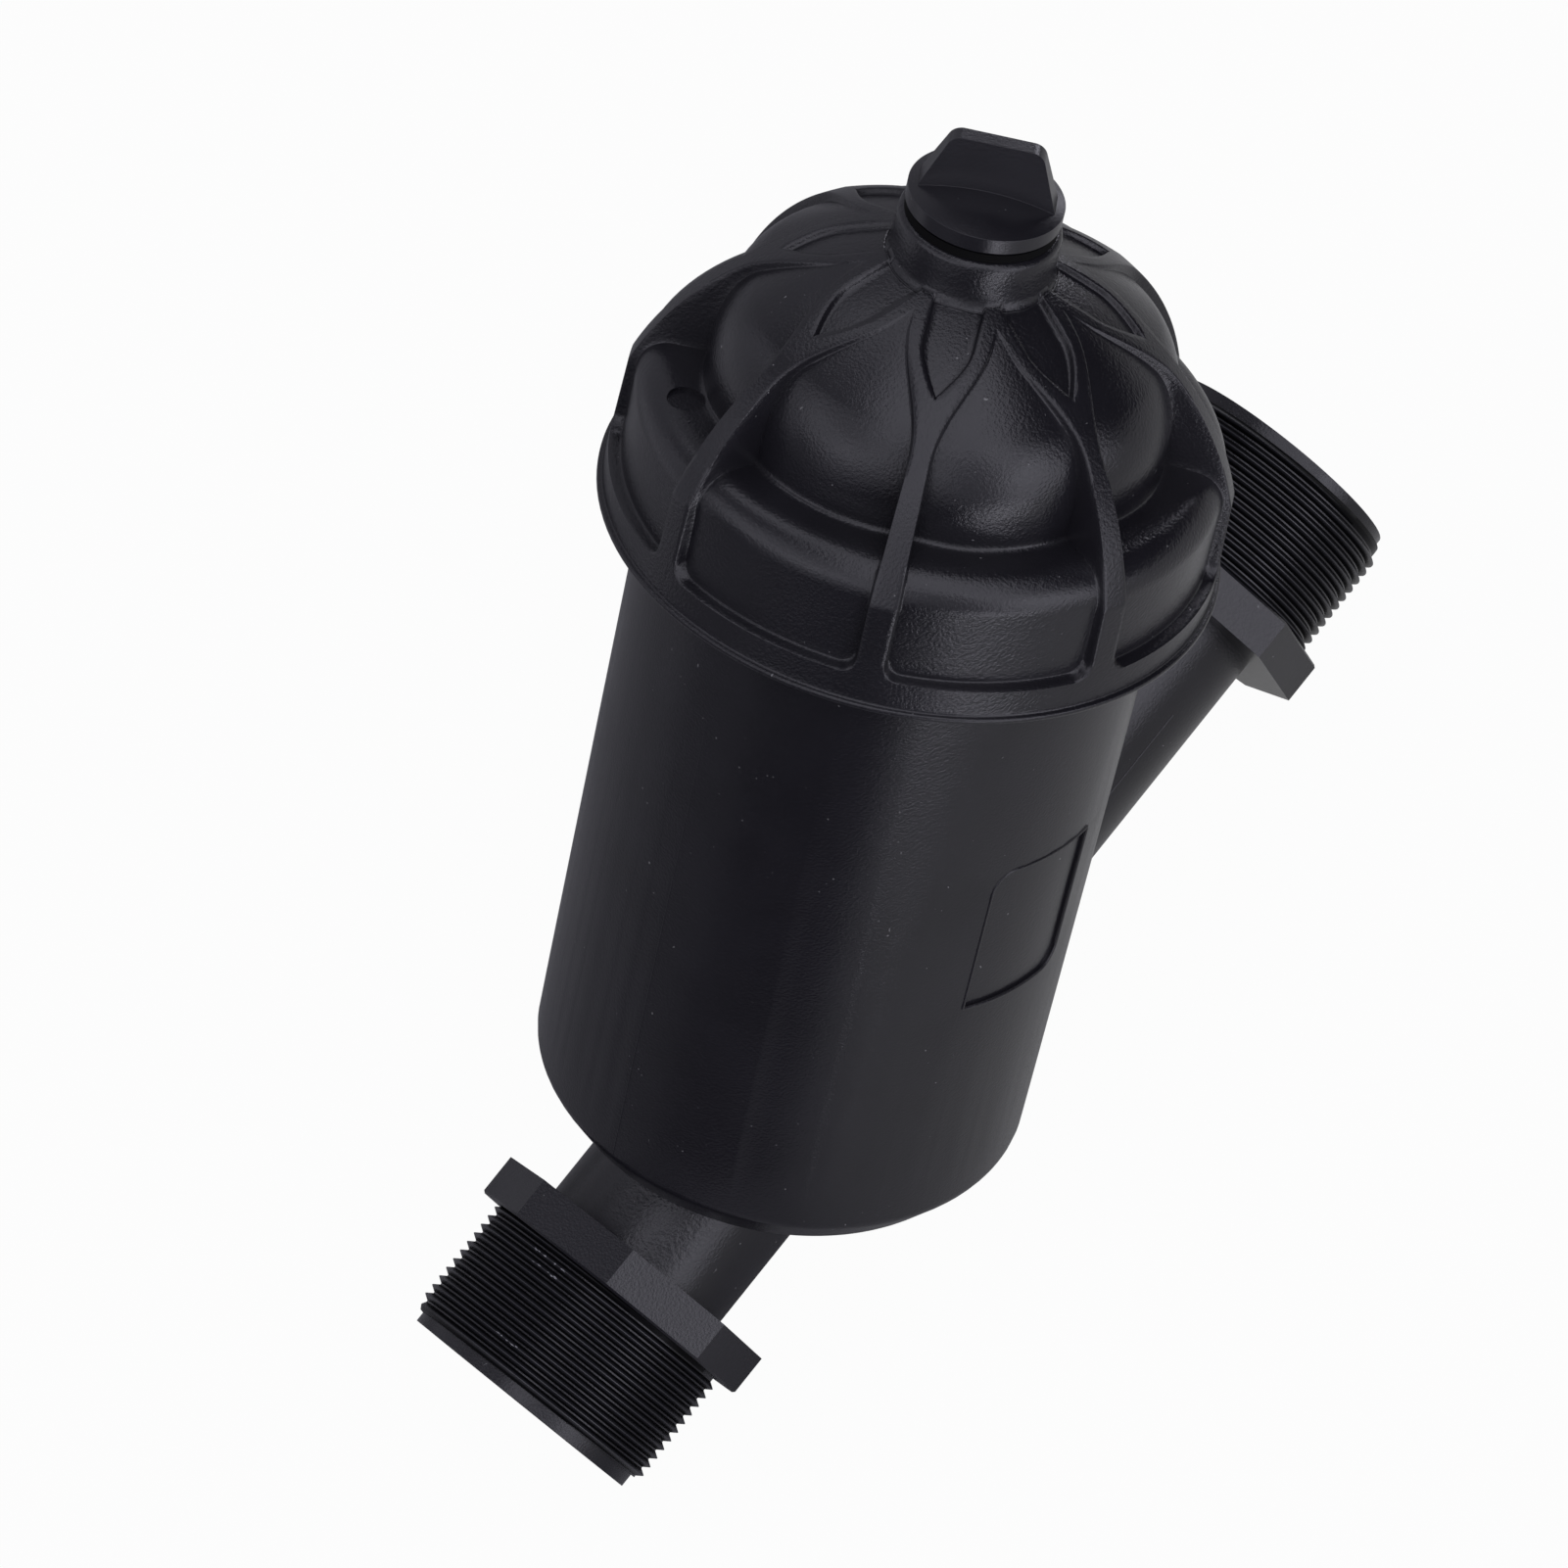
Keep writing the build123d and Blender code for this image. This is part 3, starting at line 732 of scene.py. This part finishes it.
def outward_normals(rows):
    """Outward directions of a line of (radius, height) rows, evened out, and upright at the neck."""
    slope = np.gradient(rows, axis=0)
    normals = np.column_stack((slope[:, 1], -slope[:, 0]))
    on_skirt = rows[:, 1] < -SHOULDER_RADIUS
    normals[on_skirt] = (1.0, 0.0)
    normals /= np.linalg.norm(normals, axis=1)[:, None]
    for _ in range(NORMAL_PASSES):
        normals[1:-1] = (normals[:-2] + 2 * normals[1:-1] + normals[2:]) / 4
    upright = smooth_step((NECK_RADIUS + UPRIGHT_REACH - rows[:, 0]) / UPRIGHT_WIDTH)[:, None]
    normals = normals * (1 - upright) + np.array((0.0, 1.0)) * upright
    return normals / np.linalg.norm(normals, axis=1)[:, None]


def lobe_profile():
    """Section of a dome lobe in the plane of its middle: radius and sideways share by height."""
    foot, knee = np.array(DOME_FOOT), np.array(DOME_KNEE)
    drop = foot - knee
    radius = (drop[0] ** 2 + drop[1] ** 2) / (2 * drop[0])
    turns = np.linspace(0.0, math.asin((knee[1] - foot[1]) / radius), LOBE_POINTS)
    side = [(foot[0] - radius * (1 - math.cos(t)), foot[1] + radius * math.sin(t)) for t in turns]
    tip = (LOBE_OFFSET, knee[1] + (knee[0] - LOBE_OFFSET) * math.tan(DOME_SLOPE))
    crown = arc_line(tuple(knee), tip, CROWN_BULGE, LOBE_POINTS)[1:]
    line = np.array([(foot[0], LOBE_ROOT), (foot[0], 0.0)] + side + crown)
    heights = np.linspace(LOBE_LOW, tip[1] - 0.2, LOBE_HEIGHTS)
    radii = np.interp(heights, line[:, 1], line[:, 0])
    reach = LOBE_SMOOTH_REACH
    kernel = np.exp(-0.5 * (np.arange(-reach, reach + 1) / LOBE_SMOOTH_WIDTH) ** 2)
    radii[reach:-reach] = np.convolve(radii, kernel / kernel.sum(), mode="same")[reach:-reach]
    lean = -np.gradient(radii, heights)
    return heights, radii, 1.0 / np.sqrt(1.0 + lean * lean)


def base_distance(radius, height, angle, profile):
    """Rough distance from a point to the lid under its ribs: rounded skirt and eight lobes."""
    q_side = radius - (SKIRT_RADIUS - SHOULDER_RADIUS)
    q_top = height + SHOULDER_RADIUS
    outside = np.hypot(np.maximum(q_side, 0), np.maximum(q_top, 0))
    skirt = np.minimum(np.maximum(q_side, q_top), 0) + outside - SHOULDER_RADIUS
    heights, radii, share = profile
    from_lobe = np.sqrt(radius**2 - 2 * LOBE_OFFSET * radius * np.cos(angle) + LOBE_OFFSET**2) + LOBE_OFFSET
    over_tip = np.maximum(height - heights[-1], 0)
    lobe = (from_lobe - np.interp(height, heights, radii)) * np.interp(height, heights, share) + over_tip
    mix = np.clip(0.5 + 0.5 * (lobe - skirt) / LOBE_BLEND, 0, 1)
    return lobe * (1 - mix) + skirt * mix - LOBE_BLEND * mix * (1 - mix)


def lid_columns(radius, rib_half, recess_half):
    """Sideways places of one row's points from a rib's middle to a lobe's middle, dense at the edges."""
    last = radius * math.sin(HALF_SECTOR)
    edges = (recess_half - RECESS_EDGE, recess_half + RECESS_EDGE, rib_half - RIB_EDGE_IN,
             rib_half + RIB_EDGE_OUT, rib_half + POCKET_CORNER)
    knots = [0.0]
    for place in edges:
        knots.append(max(place, knots[-1] + COLUMN_LEAST))
    room = last - COLUMN_END_ROOM
    for index in range(len(edges), 0, -1):
        knots[index] = min(knots[index], room)
        room = knots[index] - COLUMN_LEAST
    knots.append(last)
    places = [0.0]
    for start, end, count in zip(knots[:-1], knots[1:], COLUMN_CELLS):
        places += [start + (end - start) * (step + 1) / count for step in range(count)]
    return np.array(places)


def rib_half_width(radius, height):
    """Half width of a rib: wide on the skirt, narrow at the waist and wide where it forks."""
    if height < -SHOULDER_RADIUS:
        return RIB_SKIRT_HALF
    if radius > RIB_WAIST_RADIUS:
        share = (radius - RIB_WAIST_RADIUS) / (CREST_RADIUS - RIB_WAIST_RADIUS)
        return RIB_WAIST_HALF + (RIB_SKIRT_HALF - RIB_WAIST_HALF) * share
    share = smooth_step((RIB_WAIST_RADIUS - radius) / (RIB_WAIST_RADIUS - RIB_FORK_RADIUS))
    return RIB_WAIST_HALF + (RIB_FORK_HALF - RIB_WAIST_HALF) * float(share)


def pocket_depth(places, rib_half, height):
    """How far points stand inside the edge of the pocket between two ribs, with its round lower corners."""
    from_rib = places - rib_half
    from_rim = height - (RIM_FOOT + RIM_HEIGHT)
    corner_side = np.maximum(POCKET_CORNER - from_rib, 0)
    corner_rise = max(POCKET_CORNER - from_rim, 0.0)
    rounded = POCKET_CORNER - np.hypot(corner_side, corner_rise)
    in_corner = (corner_side > 0) & (corner_rise > 0)
    return np.where(in_corner, rounded, np.minimum(from_rib, from_rim))


def recess_half_width(radius):
    """Half width of the teardrop between a rib's two arms, below zero where there is none."""
    if radius < RECESS_FULL_RADIUS:
        return RECESS_HALF
    if radius > RECESS_APEX_RADIUS:
        return -1.0
    reach = RECESS_APEX_RADIUS - RECESS_FULL_RADIUS
    u = (radius - RECESS_FULL_RADIUS) / reach
    return RECESS_HALF * (2 * u**3 - 3 * u**2 + 1) - RECESS_TAPER * reach * (u**3 - u**2)


def outer_lid_rows():
    """Rows of the lid's outside from rim to neck: radii, heights and angles over half a rib's sector."""
    crest = crest_line()
    profile = lobe_profile()
    edge_start, edge_width = POCKET_EDGE
    rows = []
    for (radius, height), (out, up) in zip(crest, outward_normals(crest)):
        rib_half = rib_half_width(radius, height)
        recess_half = recess_half_width(radius)
        places = lid_columns(radius, rib_half, recess_half)
        angles = np.arcsin(np.clip(places / radius, 0, math.sin(HALF_SECTOR)))
        depth = np.zeros_like(places)
        for _ in range(DEPTH_PASSES):
            gap = base_distance(radius - out * depth, height - up * depth, HALF_SECTOR - angles, profile)
            depth += np.clip(gap, 0, None) * DEPTH_SHARE
        panel = smooth_step((pocket_depth(places, rib_half, height) + edge_start) / edge_width)
        recess = smooth_step((recess_half - places + RECESS_EDGE) / (2 * RECESS_EDGE))
        depth = depth * panel + RECESS_DEPTH * recess * (1 - panel)
        rows.append((radius - out * depth, height - up * depth, angles))
    return rows


def inner_lid_line():
    """Line of the neck and of the lid's inside, as (radius, height), from the neck's foot to the rim."""
    edge_radius = NECK_RADIUS - NECK_EDGE
    edge_height = NECK_TOP - NECK_EDGE
    line = [(NECK_RADIUS + out, height) for out, height in NECK_ROWS]
    for turn in np.linspace(0, math.pi / 2, NECK_EDGE_POINTS):
        line.append((edge_radius + NECK_EDGE * math.cos(turn), edge_height + NECK_EDGE * math.sin(turn)))
    line += [(NECK_BORE + BORE_CHAMFER, NECK_TOP), (NECK_BORE, NECK_TOP - BORE_CHAMFER)]
    knee = tuple(place - share * LID_WALL for place, share in zip(DOME_KNEE, INNER_KNEE_SHARES))
    foot_radius = DOME_FOOT[0] - LID_WALL
    bend = (foot_radius - INNER_BEND[0], DOME_FOOT[1] + INNER_BEND[1])
    tip = knee[1] + (knee[0] - NECK_BORE) * math.tan(DOME_SLOPE)
    line += [(NECK_BORE, tip), knee, bend, (foot_radius, DOME_FOOT[1])]
    line += [(foot_radius, LID_CEILING), (COLLAR_INNER, LID_CEILING), (COLLAR_INNER, COLLAR_FOOT)]
    line += [(COLLAR_OUTER, COLLAR_FOOT), (COLLAR_OUTER, LID_CEILING), (LID_BORE, LID_CEILING)]
    line += [(LID_BORE, RIM_FOOT + BORE_CHAMFER), (LID_BORE + BORE_CHAMFER, RIM_FOOT)]
    return line


def inner_lid_rows(neck_angles):
    """Rows of the neck and of the lid's inside, like the outside's rows."""
    even_angles = np.linspace(0, HALF_SECTOR, len(neck_angles))
    rows = []
    for radius, height in inner_lid_line():
        angles = neck_angles if radius < NECK_RADIUS + 1 else even_angles
        rows.append((np.full_like(angles, radius), np.full_like(angles, height), angles))
    return rows


def around_lid(angles, stride=1):
    """Index and turn of a row's points all round the lid, from each rib's middle to the next one's."""
    last = len(angles) - 1
    for rib in range(RIB_COUNT):
        middle = LID_START_ANGLE + 2 * HALF_SECTOR * rib
        for index in range(0, last, stride):
            yield index, middle + angles[index]
        for index in range(last, 0, -stride):
            yield index, middle + 2 * HALF_SECTOR - angles[index]


def ribbed_lid():
    """Screw lid as one closed surface: ribs, pockets, lobes and teardrops blend into each other."""
    outer = outer_lid_rows()
    rows = outer + inner_lid_rows(outer[-1][2])
    vertices = []
    for radii, heights, angles in rows:
        for index, turn in around_lid(angles):
            x, y = radii[index] * math.cos(turn), radii[index] * math.sin(turn)
            vertices.append(on_canister(x, y, LID_SHOULDER + heights[index]))
    neck_flash(outer[-1])
    faces = tube_faces(len(rows), len(vertices) // len(rows), closed=True)
    piece = new_piece("ribbed_lid", vertices, faces, lid_plastic, "lid")
    cut_round_mark(piece)
    finish_mesh(piece, LID_SHARP)
    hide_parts("filter_lid")


def neck_flash(row):
    """Ragged line of flash where the crown meets the foot of the neck."""
    radii, heights, angles = row
    ragged = np.random.default_rng(FLASH_SEED)
    points, outward = [], []
    for index, turn in around_lid(angles, stride=2):
        radius = radii[index] + FLASH_OUT * ragged.random()
        height = LID_SHOULDER + heights[index] + FLASH_UP * ragged.random()
        points.append(on_canister(radius * math.cos(turn), radius * math.sin(turn), height))
        lean = CANISTER_UP * math.cos(turn) + CANISTER_SIDE * math.sin(turn) + CANISTER_AXIS
        outward.append(lean.normalized())
    low_ridge("neck_flash", points, outward, FLASH_WIDTH, FLASH_HEIGHT, closed=True,
              material=lid_plastic, body="lid")


def cut_round_mark(piece):
    """Sink the flat round mark of a mould insert into the shoulder between two ribs."""
    turn = LID_START_ANGLE - HALF_SECTOR
    middle = (MARK_PLACE * math.cos(turn), MARK_PLACE * math.sin(turn))
    vertices = []
    for height in (LID_SHOULDER - MARK_DEPTH, LID_SHOULDER + MARK_CLEAR):
        for angle in np.linspace(0, 2 * math.pi, MARK_POINTS, endpoint=False):
            x = middle[0] + MARK_RADIUS * math.cos(angle)
            y = middle[1] + MARK_RADIUS * math.sin(angle)
            vertices.append(on_canister(x, y, height))
    cutter = mesh_object("mark_cutter", vertices, tube_faces(2, MARK_POINTS, closed=False))
    finish_mesh(cutter, MARK_SHARP)
    finish_mesh(piece, LID_SHARP)
    cut = piece.modifiers.new("round_mark", "BOOLEAN")
    cut.operation = "DIFFERENCE"
    cut.solver = "MANIFOLD"
    cut.object = cutter
    bpy.context.view_layer.update()
    evaluated = piece.evaluated_get(bpy.context.evaluated_depsgraph_get())
    result = bpy.data.meshes.new_from_object(evaluated)
    piece.modifiers.clear()
    piece.data = result
    bpy.data.objects.remove(cutter)


def area_light(name, azimuth, elevation, width, height, radiance, target):
    """Soft box that faces a target from a direction given in degrees, with its surface radiance."""
    data = bpy.data.lights.new(name, "AREA")
    data.shape = "RECTANGLE"
    data.size = width
    data.size_y = height
    data.energy = radiance * math.pi * width * height
    data.color = LIGHT_COLOUR
    lamp = link_object(name, data)
    turn = math.radians(azimuth)
    rise = math.radians(elevation)
    way = Vector((math.cos(rise) * math.cos(turn), math.cos(rise) * math.sin(turn), math.sin(rise)))
    lamp.location = target + way * LIGHT_DISTANCE
    lamp.rotation_euler = way.to_track_quat("Z", "Y").to_euler()


def floor_material():
    """Studio floor, white to the camera with a soft shadow, and pale in the part's reflections."""
    material, nodes, place = new_material("studio_floor")
    diffuse = nodes.add("ShaderNodeBsdfDiffuse", Color=FLOOR_GREY)
    white = nodes.add("ShaderNodeEmission", Color=WHITE, Strength=1.0)
    path = nodes.add("ShaderNodeLightPath")
    towards_card = nodes.vector("DOT_PRODUCT", "Value", place, CARD_DIRECTION)
    card = ramp(nodes, towards_card, *CARD_EDGE, 0.0, FLOOR_IN_MIRROR)
    mirrored = nodes.number("MULTIPLY", path.outputs["Is Glossy Ray"], card)
    seen = nodes.number("MULTIPLY_ADD", path.outputs["Is Camera Ray"], FLOOR_TO_CAMERA, mirrored)
    mix = nodes.add("ShaderNodeMixShader", Fac=seen)
    nodes.put(mix, 1, diffuse.outputs["BSDF"])
    nodes.put(mix, 2, white.outputs["Emission"])
    nodes.add("ShaderNodeOutputMaterial", Surface=mix.outputs["Shader"])
    return material


def add_floor():
    """Floor just under the part."""
    height = CAD_BOX[0][2] - FLOOR_GAP
    signs = ((-1, -1), (1, -1), (1, 1), (-1, 1))
    corners = [(x * FLOOR_REACH, y * FLOOR_REACH, height) for x, y in signs]
    floor = mesh_object("studio_floor", corners, [(0, 1, 2, 3)])
    floor.data.materials.append(floor_material())


def add_world():
    """World that is white to the camera and gives no light."""
    world = bpy.data.worlds.new("studio")
    bpy.context.scene.world = world
    nodes = Nodes(world)
    path = nodes.add("ShaderNodeLightPath")
    white = nodes.add("ShaderNodeBackground", Color=WHITE, Strength=path.outputs["Is Camera Ray"])
    nodes.add("ShaderNodeOutputWorld", Surface=white.outputs["Background"])


def add_lights():
    """Soft boxes round the canister's middle."""
    target = on_canister(0, 0, LIT_HEIGHT)
    for name, azimuth, elevation, width, height, radiance in SOFT_BOXES:
        area_light(name, azimuth, elevation, width, height, radiance * LIGHT_LEVEL, target)


def add_camera():
    """Camera at the photograph's viewing angle."""
    data = bpy.data.cameras.new("photo_camera")
    data.sensor_width = SENSOR_WIDTH
    data.lens = FOCAL_PIXELS / IMAGE_PIXELS * SENSOR_WIDTH
    data.clip_end = CAMERA_REACH
    camera = link_object("photo_camera", data)
    right, down, forward = CAMERA_ROWS
    rows = [(right[i], -down[i], -forward[i], CAMERA_PLACE[i]) for i in range(3)]
    camera.matrix_world = Matrix(rows + [(0.0, 0.0, 0.0, 1.0)])
    bpy.context.scene.camera = camera


dress_nodes()
ribbed_lid()
eased_copy("filter_housing", "housing_body", "housing", HOUSING_EASE, to_thread_root)
eased_copy("vent_plug", "winged_plug", "plug", PLUG_EASE)
thread_helix("outlet_thread", -1)
thread_helix("inlet_thread", 1)
thread_nicks()
parting_line()
pipe_line()
panel_rim()
add_floor()
add_world()
add_lights()
add_camera()
bpy.context.scene.view_settings.view_transform = "Standard"
